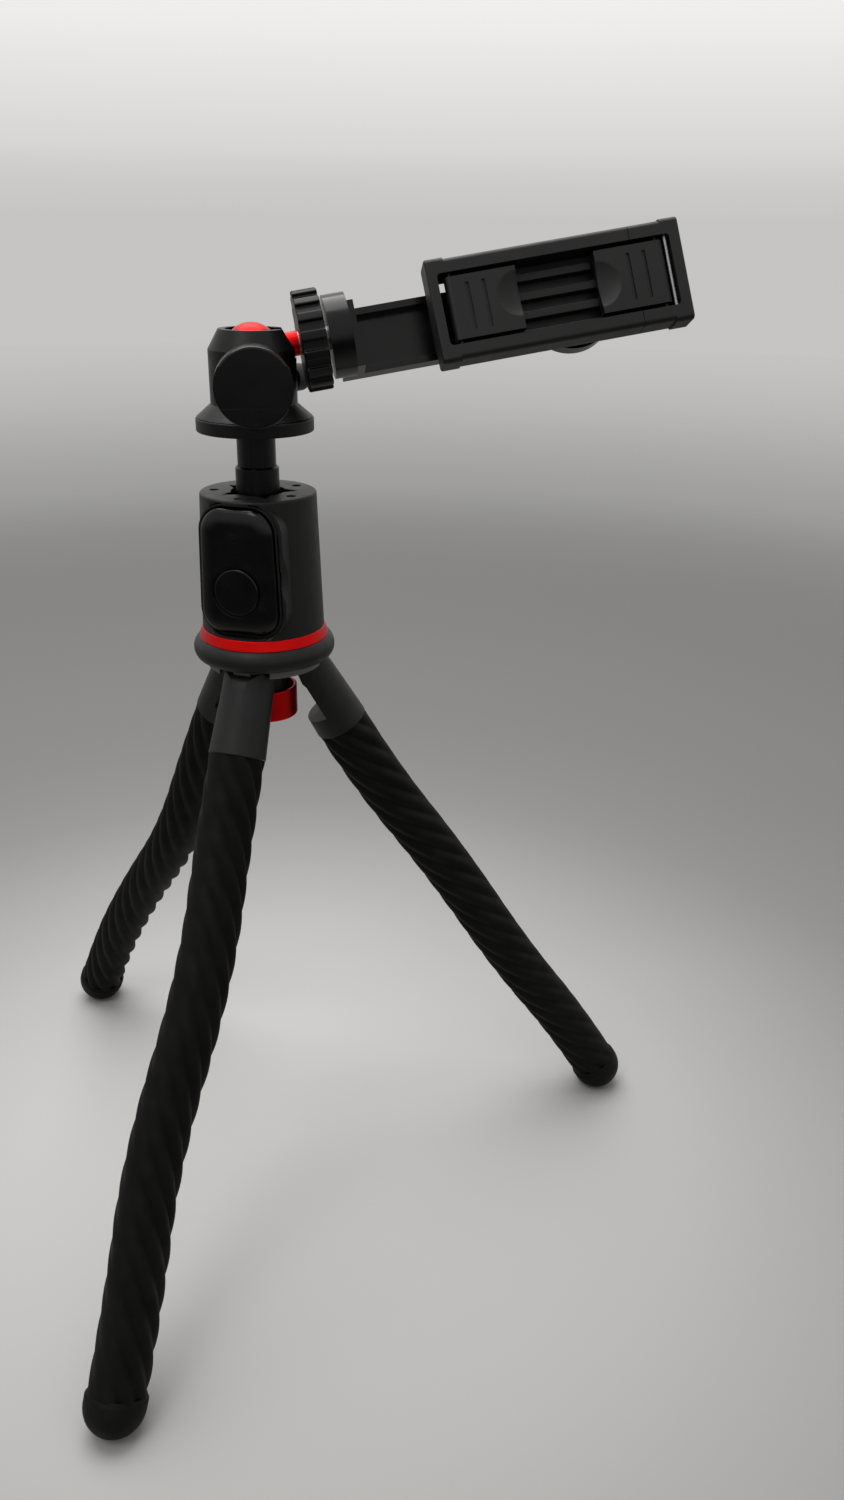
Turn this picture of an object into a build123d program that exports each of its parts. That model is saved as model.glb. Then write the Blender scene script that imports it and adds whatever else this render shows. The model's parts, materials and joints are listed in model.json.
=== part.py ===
from build123d import *
import os
from math import acos, asin, cos, degrees, hypot, pi, radians, sin, sqrt, tan

# Flexible leg tripod: three bendable legs, a handle with a telescoping pole and
# a docked remote, a ball head and a phone clamp. Millimetres, +Z up. The origin
# is on the pole axis at the height of the floor that the three feet stand on.

os.makedirs("parts", exist_ok=True)

# Shared fits and walls
run_gap = 0.08            # radial play of a shaft in its bore
part_gap = 0.3            # play between two moving bodies
seam_gap = 0.15           # the thin line between two mouldings
wall = 1.6                # moulded wall
overrun = 2.0             # how far a cutting tool passes the face it cuts
soft_edge = 0.4           # rounding of a moulded edge
knob_edge = 0.6           # rounding of a knob's edge

# Heights and radii of the handle, from the hub up
ring_bottom = 175.5       # lip of the hub ring, above the floor
plate_thickness = 2.5     # hub plate below that lip
plate_radius = 16.2
ring_height = 5.9
ring_radius = 19.8        # widest point of the hub ring
ring_widest = 2.4         # height of that point over the lip
plate_boss_height = 2.9   # plate's boss inside the ring
ring_lip_radius = 18.7
ring_bore_radius = 14.9
accent_height = 2.8
accent_low_radius = 18.1
accent_top_radius = 17.2
shell_height = 37.3
shell_low_radius = 17.0
shell_top_radius = 15.7
shell_top_wall = 2.0
mouth_radius = 7.4        # opening round the pole
mouth_notch_reach = 10.9  # tip of each notch round the pole
mouth_notch_count = 5
top_screw_azimuth = -108.0
top_screw_reach = 11.9    # from the pole axis
top_screw_radius = 1.3    # head and its recess
top_recess_depth = 0.8
top_screw_length = 6.0

plate_bottom = ring_bottom - plate_thickness
ring_top = ring_bottom + ring_height
shell_bottom = ring_top + accent_height
shell_top = shell_bottom + shell_height

# Remote and its bay
remote_azimuth = -106.2   # same side as the front leg
remote_low_width = 22.4
remote_top_width = 20.2
remote_height = 34.2
remote_rise = 1.2         # above the accent ring
remote_back_reach = 11.8  # distance of its back from the pole axis
remote_thickness = 4.9
remote_corner = 6.5
remote_round = 2.6        # rounding of its front edge
remote_wall = 1.1
remote_back_thickness = 1.0
remote_gap = 0.2          # play round the docked remote
cradle_wall = 0.5
cradle_floor = 0.8
bay_floor_thickness = 1.2
bay_rim_width = 1.5       # on the scoop's side and above
bay_thin_rim = 0.15       # on the other side
bay_rim_reach = 14.4      # front face of the bay's raised rim
scoop_radius = 17.0       # of the round finger scoop
scoop_rise = 16.5         # scoop's middle above the remote's lower end
scoop_land = 0.3          # rim left between the cradle and the scoop
scoop_lean_angle = 20.0   # degrees that the scoop faces forward
button_radius = 6.3
button_ring_width = 0.9
button_flange = 0.5
button_rise = 12.1        # button's middle above the remote's lower end
button_travel = 0.6
button_proud = 0.25
cell_radius = 6.25
cell_thickness = 2.0
cell_margin = 1.2        # to the remote's top wall
board_thickness = 0.6
board_low_gap = 1.0
board_over_button = 2.6   # board above the button's middle
board_width = 15.0

remote_low = shell_bottom + remote_rise
remote_top = remote_low + remote_height
scoop_height = remote_low + scoop_rise
button_height = remote_low + button_rise
cell_height = remote_top - remote_wall - cell_margin - cell_radius

# Pole
sleeve_wall = 0.8
tube_outer_radius = 5.85
tube_wall = 0.62
tube_step = tube_wall + run_gap
large_tube_show = 6.7     # above the handle
middle_tube_show = 9.0    # above the large tube
small_tube_reach = 2.6    # how far the small tube enters the head base
tube_bevel = 0.5
groove_width = 1.2
groove_depth = 0.25
groove_azimuth = -92.0

large_tube_top = shell_top + large_tube_show
middle_tube_top = large_tube_top + middle_tube_show

# Ball head
base_gap = 0.2            # over the middle tube
base_radius = 15.5
base_thickness = 3.5
housing_cone_height = 3.3
housing_cone_radius = 15.2
housing_radius = 11.35
housing_height = 21.75
housing_crown = 5.0       # cone above the shoulder
housing_top_radius = 8.5
housing_wall = 2.6
ball_depth = 5.6          # centre of the red ball below the housing's top
ball_radius = 7.2
ball_gap = 0.12
stem_radius = 3.1
stem_show = 0.85          # red stem outside the housing
head_azimuth = 9.5        # side that the arm points to
head_mouth_radius = 5.3
tension_azimuth = -82.0
tension_drop = 6.3        # below the ball's centre
tension_radius = 9.75
tension_gap = 0.4         # knob's back face outside the base disc
tension_thickness = 8.6
tension_boss_radius = 5.5
tension_screw_radius = 3.0
tension_band_half = 5.0   # half the width of the band across the knob
tension_band_depth = 1.2
pan_azimuth = 62.0
pan_drop = 8.3
pan_radius = 3.6
pan_standoff = 4.95       # off the housing
pan_length = 5.6
pan_boss_radius = 3.0
pan_screw_radius = 1.5

base_bottom = middle_tube_top + base_gap
base_top = base_bottom + base_thickness
housing_bottom = base_top + seam_gap
housing_top = housing_bottom + housing_height
housing_shoulder = housing_top - housing_crown
ball_height = housing_top - ball_depth
tension_height = ball_height - tension_drop
tension_near = base_radius + tension_gap
pan_height = ball_height - pan_drop
pan_near = housing_radius + pan_standoff

# Arm and clamp, along the arm axis from the ball's centre
arm_rise_angle = 9.6      # degrees above level
clamp_tilt_angle = 22.5   # degrees that the clamp faces up
stud_radius = 3.0
stud_bite = 4.7           # stud in the arm's disc
wheel_thickness = 6.5
wheel_radius = 12.6
wheel_lobe_count = 16
wheel_lobe_depth = 1.1    # grooves as wide as the lobes between them
disc_gap = 0.9            # between the wheel and the arm's disc
disc_thickness = 5.8
disc_radius = 10.45
arm_back = -12.2          # back of the arm, measured along the clamp's face normal
arm_lip = -7.5            # front of its two flanges
arm_half = 8.6
arm_flange = 1.8
arm_web = 1.7
arm_set_in = 2.5          # channel's start inside the disc
pivot_set_in = 39.6       # pivot from the clamp's near end
pivot_radius = 12.3
pivot_boss_radius = 8.0
pivot_bolt_radius = 2.5
pivot_head_radius = 4.6
pivot_head_thickness = 1.6
clamp_gap = 25.0          # open stretch of the channel
clamp_length = 67.7
clamp_half = 13.05
clamp_front = 5.7
clamp_thickness = 8.4
clamp_round = 1.3         # of the frame's long outer edges
clamp_end_round = 0.6
near_wall = 2.7
far_wall = 3.0
opening_half = 9.25
opening_corner = 1.0
slider_length = 13.7
cap_block_length = 5.0
cap_block_proud = 0.4
floor_thickness = 1.4
floor_set_in = 3.4        # see-through gap at the near end
rail_front = 1.6
rail_height = 2.2
rail_pitch = 4.9
rail_first = 5.9
rail_count = 4
rail_set_in = 11.9
flap_length = 18.7
flap_half = 8.1
flap_thickness = 3.2
flap_front = 5.4
flap_pin_radius = 0.6
flap_slot_width = 0.9
flap_slot_length = 12.2
flap_slot_depth = 0.5
flap_slot_offsets = (5.6, 9.9)
flap_scoop_radius = 6.2
flap_scoop_depth = 1.3
left_scoop_across = 1.0   # off the middle of the flap
right_scoop_across = -0.5
left_flap_gap = 1.7       # to the near wall
rod_radius = 0.9
rod_offset = 11.15
rod_depth = 1.3
rod_set_in = 7.9          # rod's bore from the near wall
spring_radius = 1.35
spring_wall = 0.3
spring_share = 0.69       # of the rod's bore
bar_radius = 0.65

stem_end = housing_radius + stem_show
wheel_start = stem_end + part_gap
disc_start = wheel_start + wheel_thickness + disc_gap
stud_end = disc_start + stud_bite
arm_start = disc_start + arm_set_in
clamp_start = arm_start + clamp_gap
clamp_end = clamp_start + clamp_length
pivot_reach = clamp_start + pivot_set_in
opening_start = clamp_start + near_wall
opening_end = clamp_end - far_wall
split_reach = clamp_end - slider_length
floor_start = opening_start + floor_set_in
rail_start = opening_start + rail_set_in
left_flap_start = opening_start + left_flap_gap
rod_start = opening_start + rod_set_in
spring_length = (split_reach - rod_start) * spring_share

# Red knob under the hub
cup_radius = 8.7
cup_wall = 0.9
cup_height = 8.9
cup_gap = 7.1             # between the hub plate and the cup's rim
neck_radius = 6.0
neck_gap = 2.0            # between the neck and the cup's floor
knob_screw_radius = 2.5
knob_screw_bite = 1.0     # in the hub plate

cup_bottom = plate_bottom - cup_gap - cup_height
neck_bottom = cup_bottom + wall + neck_gap
knob_screw_top = plate_bottom + knob_screw_bite

# Legs
hinge_reach = 13.1        # hinge pin from the pole axis
hinge_drop = 5.5          # hinge pin below the hub plate
hinge_pin_radius = 1.25
hinge_pin_bite = 3.0      # how deep each end of the pin sits in the socket
leg_splay_angle = 29.0    # socket from the vertical, degrees
tongue_width = 5.0
tongue_end_radius = 3.6
tongue_neck = 6.0
socket_radius = 8.0       # at its collar
socket_top_radius = 7.2
socket_length = 18.0
socket_flat = 3.0         # flat inner side, from the socket's axis
collar_length = 6.5
skin_radius = 7.6
core_radius = 2.0
core_insert = 6.0         # core inside the socket
knuckle_gap = 0.4
foot_radius = 8.3
foot_rim = 2.0
foot_reach = 114.0
foot_sink = 0.35          # how much of the ball is cut flat at the floor
leg_azimuths = {"front": -106.2, "right": 14.9, "rear": 136.6}
# Each row: share of the way from socket to foot, outward bow and sideways sway
# as shares of that distance.
leg_route_shares = {
    "front": ((0.36, -0.004, 0.015), (0.64, 0.002, -0.015), (0.86, 0.004, 0.001)),
    "right": ((0.36, 0.001, 0.004), (0.63, -0.006, -0.005), (0.86, 0.005, 0.004)),
    "rear": ((0.35, -0.033, 0.004), (0.61, 0.003, -0.004), (0.83, 0.009, 0.004)),
}
first_run_share = 0.13
arc_share = 0.45          # of the shorter run beside a corner, taken by the corner's arc
knee_share = 0.5          # where the bend hinge lies on the middle run

hinge_height = plate_bottom - hinge_drop


def save(piece, name):
    piece.part.label = name
    export_step(piece.part, f"parts/{name}.step")


def direction(azimuth, elevation=0.0):
    a, e = radians(azimuth), radians(elevation)
    return Vector(cos(a) * cos(e), sin(a) * cos(e), sin(e))


def section_plane(azimuth):
    """Plane through the pole axis: local x is outward, local y is up."""
    a = radians(azimuth)
    return Plane(origin=(0, 0, 0), x_dir=(cos(a), sin(a), 0), z_dir=(sin(a), -cos(a), 0))


def facing_plane(azimuth, height, reach):
    """Plane square to an outward direction: local x is sideways, local y is up."""
    out, a = direction(azimuth), radians(azimuth)
    return Plane(origin=out * reach + Vector(0, 0, height), x_dir=(-sin(a), cos(a), 0), z_dir=out)


# Handle and hub

def shell_radius_at(z):
    share = (z - shell_bottom) / shell_height
    return shell_low_radius + (shell_top_radius - shell_low_radius) * share


bay_plane = facing_plane(remote_azimuth, 0, 0)
cradle_back = remote_back_reach - run_gap - cradle_floor
bay_reach = cradle_back - bay_floor_thickness
cradle_grow = remote_gap + cradle_wall
remote_taper = (remote_top_width - remote_low_width) / remote_height
scoop_edge = (remote_low_width + remote_taper * scoop_rise) / 2 + cradle_grow + scoop_land
scoop_lean = radians(scoop_lean_angle)
scoop_plane = facing_plane(remote_azimuth, scoop_height, bay_rim_reach + scoop_radius * sin(scoop_lean))


def remote_outline(grow):
    """Rounded outline of the remote, grown by a gap on every side."""
    low, top = remote_low_width / 2 + grow, remote_top_width / 2 + grow
    with BuildSketch() as outline:
        Polygon((-low, remote_low - grow), (low, remote_low - grow),
                (top, remote_top + grow), (-top, remote_top + grow), align=None)
        fillet(outline.vertices(), remote_corner + grow)
    return outline.sketch


notch_pitch = 360 / mouth_notch_count
screw_turns = [top_screw_azimuth + notch_pitch * k for k in range(1, mouth_notch_count)]
with BuildPart() as handle_shell:
    with BuildSketch(Plane.XZ):
        with BuildLine():
            Polyline((0, shell_bottom), (shell_low_radius, shell_bottom),
                     (shell_top_radius, shell_top), (0, shell_top), close=True)
        make_face()
    revolve(axis=Axis.Z)
    fillet(handle_shell.edges().filter_by(GeomType.CIRCLE).sort_by(Axis.Z)[-1], knob_edge)
    with BuildSketch(Plane.XZ):
        with BuildLine():
            Polyline((0, shell_bottom - overrun), (shell_low_radius - wall, shell_bottom - overrun),
                     (shell_top_radius - wall, shell_top - shell_top_wall),
                     (0, shell_top - shell_top_wall), close=True)
        make_face()
    revolve(axis=Axis.Z, mode=Mode.SUBTRACT)
    with BuildSketch(bay_plane.offset(bay_reach)):
        low = remote_low_width / 2 + cradle_grow + bay_rim_width
        top = remote_top_width / 2 + cradle_grow + bay_rim_width
        shift = bay_rim_width - bay_thin_rim
        rim = Polygon((shift - low, shell_bottom), (low, shell_bottom),
                      (top, shell_top - knob_edge), (shift - top, shell_top - knob_edge), align=None)
        fillet(rim.vertices(), remote_corner + bay_rim_width)
    extrude(amount=bay_rim_reach - bay_reach)
    with BuildSketch(bay_plane.offset(cradle_back)):
        add(remote_outline(cradle_grow))
    extrude(amount=remote_thickness * 2, mode=Mode.SUBTRACT)
    with Locations(scoop_plane):
        with Locations((scoop_edge + scoop_radius * cos(scoop_lean), 0)):
            Sphere(scoop_radius, mode=Mode.SUBTRACT)
    with BuildSketch(Plane.XY.offset(shell_top)):
        Circle(mouth_radius)
        notch_radius = mouth_notch_reach - mouth_radius + overrun / 2
        with PolarLocations(mouth_radius - overrun / 2, mouth_notch_count,
                            top_screw_azimuth + notch_pitch / 2):
            RegularPolygon(notch_radius, 3)
    extrude(amount=-shell_top_wall, mode=Mode.SUBTRACT)
    with BuildSketch(Plane.XY.offset(shell_top)):
        with PolarLocations(top_screw_reach, mouth_notch_count, top_screw_azimuth):
            Circle(top_screw_radius)
    extrude(amount=-top_recess_depth, mode=Mode.SUBTRACT)
    with BuildSketch(Plane.XY.offset(shell_top)):
        for turn in screw_turns:
            with PolarLocations(top_screw_reach, 1, turn):
                Circle(top_screw_radius / 2)
    extrude(amount=-shell_top_wall, mode=Mode.SUBTRACT)
save(handle_shell, "handle_shell")

with BuildPart() as remote_cradle:
    with BuildSketch(bay_plane.offset(cradle_back)):
        add(remote_outline(cradle_grow))
    extrude(amount=bay_rim_reach - cradle_back)
    with BuildSketch(bay_plane.offset(cradle_back + cradle_floor)):
        add(remote_outline(remote_gap))
    extrude(amount=remote_thickness, mode=Mode.SUBTRACT)
save(remote_cradle, "remote_cradle")

with BuildPart() as top_screws:
    for turn in screw_turns:
        with BuildSketch(Plane.XY.offset(shell_top - top_recess_depth)):
            with PolarLocations(top_screw_reach, 1, turn):
                Circle(top_screw_radius)
        extrude(amount=top_recess_depth / 2)
        with BuildSketch(Plane.XY.offset(shell_top - top_recess_depth)):
            with PolarLocations(top_screw_reach, 1, turn):
                Circle(top_screw_radius / 2)
        extrude(amount=-top_screw_length)
save(top_screws, "top_screws")

with BuildPart() as accent_ring:
    with BuildSketch(Plane.XZ):
        with BuildLine():
            Polyline((ring_bore_radius, ring_top), (accent_low_radius, ring_top),
                     (accent_top_radius, shell_bottom), (ring_bore_radius, shell_bottom), close=True)
        make_face()
    revolve(axis=Axis.Z)
save(accent_ring, "accent_ring")

with BuildPart() as hub_ring:
    with BuildSketch(Plane.XZ):
        with BuildLine():
            ThreePointArc((ring_lip_radius, ring_bottom),
                          (ring_radius, ring_bottom + ring_widest),
                          (accent_low_radius, ring_top))
            Polyline((accent_low_radius, ring_top), (ring_bore_radius, ring_top),
                     (ring_bore_radius, ring_bottom), (ring_lip_radius, ring_bottom))
        make_face()
    revolve(axis=Axis.Z)
save(hub_ring, "hub_ring")

plate_top = ring_bottom + plate_boss_height
pocket_radius = socket_top_radius + part_gap
with BuildPart() as hub_plate:
    with BuildSketch(Plane.XY.offset(plate_bottom)):
        Circle(plate_radius)
    extrude(amount=ring_bottom - plate_bottom)
    with BuildSketch(Plane.XY.offset(ring_bottom)):
        Circle(ring_bore_radius - seam_gap / 2)
    extrude(amount=plate_top - ring_bottom)
    for azimuth in leg_azimuths.values():
        with BuildSketch(section_plane(azimuth)):
            with Locations((hinge_reach, hinge_height)):
                Circle(pocket_radius)
        extrude(amount=pocket_radius, both=True, mode=Mode.SUBTRACT)
    for azimuth in leg_azimuths.values():
        with BuildSketch(section_plane(azimuth)):
            with Locations((hinge_reach, hinge_height)):
                Circle(tongue_end_radius)
            with Locations((hinge_reach, (hinge_height + ring_bottom) / 2)):
                Rectangle(tongue_neck, ring_bottom - hinge_height)
            with Locations((hinge_reach, hinge_height)):
                Circle(hinge_pin_radius, mode=Mode.SUBTRACT)
        extrude(amount=tongue_width / 2, both=True)
    with BuildSketch(Plane.XY.offset(neck_bottom)):
        Circle(neck_radius)
    extrude(amount=plate_bottom - neck_bottom)
    with BuildSketch(Plane.XY.offset(neck_bottom)):
        Circle(knob_screw_radius + run_gap)
    extrude(amount=knob_screw_top + part_gap - neck_bottom, mode=Mode.SUBTRACT)
save(hub_plate, "hub_plate")

pin_half = tongue_width / 2 + hinge_pin_bite
with BuildPart() as leg_hinge_pins:
    for azimuth in leg_azimuths.values():
        with BuildSketch(section_plane(azimuth)):
            with Locations((hinge_reach, hinge_height)):
                Circle(hinge_pin_radius)
        extrude(amount=pin_half, both=True)
save(leg_hinge_pins, "leg_hinge_pins")

sleeve_radius = tube_outer_radius + run_gap + sleeve_wall
sleeve_top = shell_top - shell_top_wall * 2
flange_top = plate_top + wall
post_top = shell_top - shell_top_wall
with BuildPart() as pole_sleeve:
    with BuildSketch(Plane.XY.offset(plate_top)):
        Circle(ring_bore_radius)
    extrude(amount=flange_top - plate_top)
    with BuildSketch(Plane.XY.offset(flange_top)):
        Circle(sleeve_radius)
    extrude(amount=sleeve_top - flange_top)
    with BuildSketch(Plane.XY.offset(flange_top)):
        for turn in screw_turns:
            with PolarLocations(top_screw_reach, 1, turn):
                Circle(top_screw_radius + seam_gap)
    extrude(amount=post_top - flange_top)
    with BuildSketch(Plane.XY.offset(post_top)):
        for turn in screw_turns:
            with PolarLocations(top_screw_reach, 1, turn):
                Circle(top_screw_radius / 2)
    extrude(amount=-top_screw_length, mode=Mode.SUBTRACT)
    with BuildSketch(Plane.XY.offset(plate_top)):
        Circle(tube_outer_radius + run_gap)
    extrude(amount=sleeve_top - plate_top, mode=Mode.SUBTRACT)
save(pole_sleeve, "pole_sleeve")

# Red lock knob

with BuildPart() as lock_knob:
    with BuildSketch(Plane.XY.offset(cup_bottom)):
        Circle(cup_radius)
    extrude(amount=cup_height)
    fillet(lock_knob.edges().group_by(Axis.Z)[0], knob_edge)
    with BuildSketch(Plane.XY.offset(cup_bottom + wall)):
        Circle(cup_radius - cup_wall)
    extrude(amount=cup_height, mode=Mode.SUBTRACT)
    with BuildSketch(Plane.XY.offset(cup_bottom)):
        Circle(knob_screw_radius)
    extrude(amount=wall, mode=Mode.SUBTRACT)
save(lock_knob, "lock_knob")

with BuildPart() as lock_knob_screw:
    with BuildSketch(Plane.XY.offset(cup_bottom)):
        Circle(knob_screw_radius)
    extrude(amount=knob_screw_top - cup_bottom)
save(lock_knob_screw, "lock_knob_screw")

# Remote

remote_front = remote_back_reach + remote_thickness
remote_skin = bay_plane.offset(remote_back_reach + remote_back_thickness)
with BuildPart() as remote_shell:
    with BuildSketch(remote_skin):
        add(remote_outline(0))
    extrude(amount=remote_thickness - remote_back_thickness)
    fillet(remote_shell.faces().sort_by(Axis(origin=(0, 0, 0), direction=direction(remote_azimuth)))
           [-1].edges(), remote_round)
    with BuildSketch(remote_skin):
        add(remote_outline(-remote_wall))
    extrude(amount=remote_thickness - remote_back_thickness - remote_wall, mode=Mode.SUBTRACT)
    with Locations(bay_plane.offset(remote_front)):
        with Locations((0, button_height)):
            CounterBoreHole(button_radius + part_gap / 2, button_radius + button_ring_width,
                            button_proud, depth=remote_wall * 2)
save(remote_shell, "remote_shell")

with BuildPart() as remote_back:
    with BuildSketch(bay_plane.offset(remote_back_reach)):
        add(remote_outline(0))
    extrude(amount=remote_back_thickness)
save(remote_back, "remote_back")

with BuildPart() as remote_board:
    with BuildSketch(remote_skin):
        board_low = remote_low + remote_wall + board_low_gap
        board_high = button_height + board_over_button
        with Locations((0, (board_low + board_high) / 2)):
            Rectangle(board_width, board_high - board_low)
    extrude(amount=board_thickness)
save(remote_board, "remote_board")

with BuildPart() as coin_cell:
    with BuildSketch(remote_skin):
        with Locations((0, cell_height)):
            Circle(cell_radius)
    extrude(amount=cell_thickness)
save(coin_cell, "coin_cell")

button_back = remote_back_reach + remote_back_thickness + board_thickness + button_travel + part_gap
with BuildPart() as shutter_button:
    with BuildSketch(bay_plane.offset(button_back)):
        with Locations((0, button_height)):
            Circle(button_radius)
    extrude(amount=remote_front + button_proud - button_back)
    fillet(shutter_button.faces().sort_by(
        Axis(origin=(0, 0, 0), direction=direction(remote_azimuth)))[-1].edges(), soft_edge)
    with BuildSketch(bay_plane.offset(button_back)):
        with Locations((0, button_height)):
            Circle(button_radius + button_flange)
    extrude(amount=button_flange)
save(shutter_button, "shutter_button")

# Pole


def pole_tube(name, radius, bottom, top):
    with BuildPart() as tube:
        with BuildSketch(Plane.XY.offset(bottom)):
            Circle(radius)
            Circle(radius - tube_wall, mode=Mode.SUBTRACT)
        extrude(amount=top - bottom)
        chamfer(tube.edges().group_by(Axis.Z)[-1].sort_by(SortBy.LENGTH)[-1], tube_bevel)
        with BuildSketch(facing_plane(groove_azimuth, 0, radius - groove_depth)):
            with Locations((0, (bottom + top) / 2)):
                Rectangle(groove_width, top - bottom + overrun)
        extrude(amount=overrun, mode=Mode.SUBTRACT)
    save(tube, name)


tube_floor = plate_top + part_gap
pole_tube("pole_tube_large", tube_outer_radius, tube_floor, large_tube_top)
pole_tube("pole_tube_middle", tube_outer_radius - tube_step, tube_floor, middle_tube_top)
small_radius = tube_outer_radius - 2 * tube_step
with BuildPart() as pole_tube_small:
    with BuildSketch(Plane.XY.offset(tube_floor)):
        Circle(small_radius)
        Circle(small_radius - tube_wall, mode=Mode.SUBTRACT)
    extrude(amount=base_bottom + small_tube_reach - tube_floor)
save(pole_tube_small, "pole_tube_small")

# Ball head

with BuildPart() as head_base:
    with BuildSketch(Plane.XY.offset(base_bottom)):
        Circle(base_radius)
    extrude(amount=base_thickness)
    fillet(head_base.edges().filter_by(GeomType.CIRCLE), soft_edge)
    with BuildSketch(Plane.XY.offset(base_bottom)):
        Circle(small_radius)
    extrude(amount=small_tube_reach, mode=Mode.SUBTRACT)
save(head_base, "head_base")

cone_top = housing_bottom + housing_cone_height
seat_floor = ball_height - ball_radius - wall
arm_direction = direction(head_azimuth, arm_rise_angle)
ball_center = Vector(0, 0, ball_height)
slot_radius = stem_radius + part_gap
slot_plane = section_plane(head_azimuth)
with BuildPart() as ball_housing:
    with BuildSketch(Plane.XZ):
        with BuildLine():
            Polyline((0, housing_bottom), (housing_cone_radius, housing_bottom),
                     (housing_radius, cone_top), (housing_radius, housing_shoulder),
                     (housing_top_radius, housing_top), (0, housing_top), close=True)
        make_face()
    revolve(axis=Axis.Z)
    with BuildSketch(facing_plane(tension_azimuth, tension_height, 0)):
        Circle(tension_boss_radius)
    extrude(amount=tension_near - part_gap)
    with BuildSketch(facing_plane(pan_azimuth, pan_height, 0)):
        Circle(pan_boss_radius)
    extrude(amount=pan_near - part_gap)
    with BuildSketch(Plane.XY.offset(seat_floor)):
        Circle(housing_radius - housing_wall)
    extrude(amount=ball_height - seat_floor, mode=Mode.SUBTRACT)
    with Locations((0, 0, ball_height)):
        Sphere(housing_radius - housing_wall, mode=Mode.SUBTRACT)
    with BuildSketch(Plane.XY.offset(ball_height)):
        Circle(head_mouth_radius)
    extrude(amount=housing_top, mode=Mode.SUBTRACT)
    with BuildSketch(slot_plane):
        rise, run = sin(radians(arm_rise_angle)), cos(radians(arm_rise_angle))
        reach = housing_cone_radius + overrun
        with BuildLine():
            Polyline((0, ball_height - slot_radius / run),
                     (reach * run, ball_height - slot_radius / run + reach * rise),
                     (reach * run, housing_top + overrun), (0, housing_top + overrun), close=True)
        make_face()
    extrude(amount=slot_radius, both=True, mode=Mode.SUBTRACT)
    with BuildSketch(facing_plane(tension_azimuth, tension_height, 0)):
        Circle(tension_screw_radius + run_gap)
    extrude(amount=tension_near, mode=Mode.SUBTRACT)
    with BuildSketch(facing_plane(pan_azimuth, pan_height, housing_radius - housing_wall * 2)):
        Circle(pan_screw_radius + run_gap)
    extrude(amount=pan_near, mode=Mode.SUBTRACT)
save(ball_housing, "ball_housing")

seat_radius = housing_radius - housing_wall - seam_gap / 2
with BuildPart() as ball_seat:
    with BuildSketch(Plane.XY.offset(seat_floor)):
        Circle(seat_radius)
    extrude(amount=ball_height - stem_radius - seat_floor - overrun)
    with Locations((0, 0, ball_height)):
        Sphere(ball_radius + ball_gap, mode=Mode.SUBTRACT)
    with BuildSketch(facing_plane(tension_azimuth, tension_height, 0)):
        Circle(tension_screw_radius + run_gap)
    extrude(amount=tension_near, mode=Mode.SUBTRACT)
    with BuildSketch(facing_plane(pan_azimuth, pan_height, housing_radius - housing_wall * 2)):
        Circle(pan_screw_radius + run_gap)
    extrude(amount=pan_near, mode=Mode.SUBTRACT)
save(ball_seat, "ball_seat")

arm_plane = Plane(origin=ball_center, x_dir=(-sin(radians(head_azimuth)), cos(radians(head_azimuth)), 0),
                  z_dir=arm_direction)
with BuildPart() as red_ball:
    with Locations((0, 0, ball_height)):
        Sphere(ball_radius)
    with BuildSketch(arm_plane):
        Circle(stem_radius)
    extrude(amount=stem_end)
save(red_ball, "red_ball")

with BuildPart() as head_stud:
    with BuildSketch(arm_plane.offset(stem_end)):
        Circle(stud_radius)
    extrude(amount=stud_end - stem_end)
save(head_stud, "head_stud")

tension_plane = facing_plane(tension_azimuth, tension_height, tension_near)
with BuildPart() as tension_knob:
    with BuildSketch(tension_plane):
        Circle(tension_radius)
    extrude(amount=tension_thickness)
    fillet(tension_knob.edges().filter_by(GeomType.CIRCLE), knob_edge)
    with BuildSketch(tension_plane.offset(tension_thickness - tension_band_depth)):
        Rectangle(tension_radius * 2 + overrun, tension_band_half * 2)
    extrude(amount=tension_band_depth + overrun, mode=Mode.SUBTRACT)
    with BuildSketch(tension_plane):
        Circle(tension_screw_radius)
    extrude(amount=tension_thickness / 2, mode=Mode.SUBTRACT)
save(tension_knob, "tension_knob")

ball_drop = ball_height - tension_height
screw_tip = sqrt(ball_radius ** 2 - (ball_drop - tension_screw_radius) ** 2) + part_gap
with BuildPart() as tension_screw:
    with BuildSketch(facing_plane(tension_azimuth, tension_height, screw_tip)):
        Circle(tension_screw_radius)
    extrude(amount=tension_near + tension_thickness / 2 - screw_tip)
save(tension_screw, "tension_screw")

pan_plane = facing_plane(pan_azimuth, pan_height, pan_near)
pan_screw_start = housing_radius - housing_wall * 1.5
with BuildPart() as pan_knob:
    with BuildSketch(pan_plane):
        Circle(pan_radius)
    extrude(amount=pan_length)
    fillet(pan_knob.edges().filter_by(GeomType.CIRCLE), soft_edge)
    with BuildSketch(facing_plane(pan_azimuth, pan_height, pan_screw_start)):
        Circle(pan_screw_radius)
    extrude(amount=pan_near - pan_screw_start)
save(pan_knob, "pan_knob")

# Phone holder, drawn on the clamp's plane: local x runs along the arm, local y
# across the clamp and local z out of its face.
level_normal = Vector(arm_direction.Y, -arm_direction.X, 0).normalized()
upright_normal = level_normal.cross(arm_direction)
clamp_tilt = radians(clamp_tilt_angle)
clamp_normal = level_normal * cos(clamp_tilt) + upright_normal * sin(clamp_tilt)
clamp_plane = Plane(origin=ball_center, x_dir=arm_direction, z_dir=clamp_normal)
along_arm = Plane(origin=ball_center, x_dir=clamp_normal, z_dir=arm_direction)
along_arm_axis = Axis(origin=ball_center, direction=arm_direction)

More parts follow.
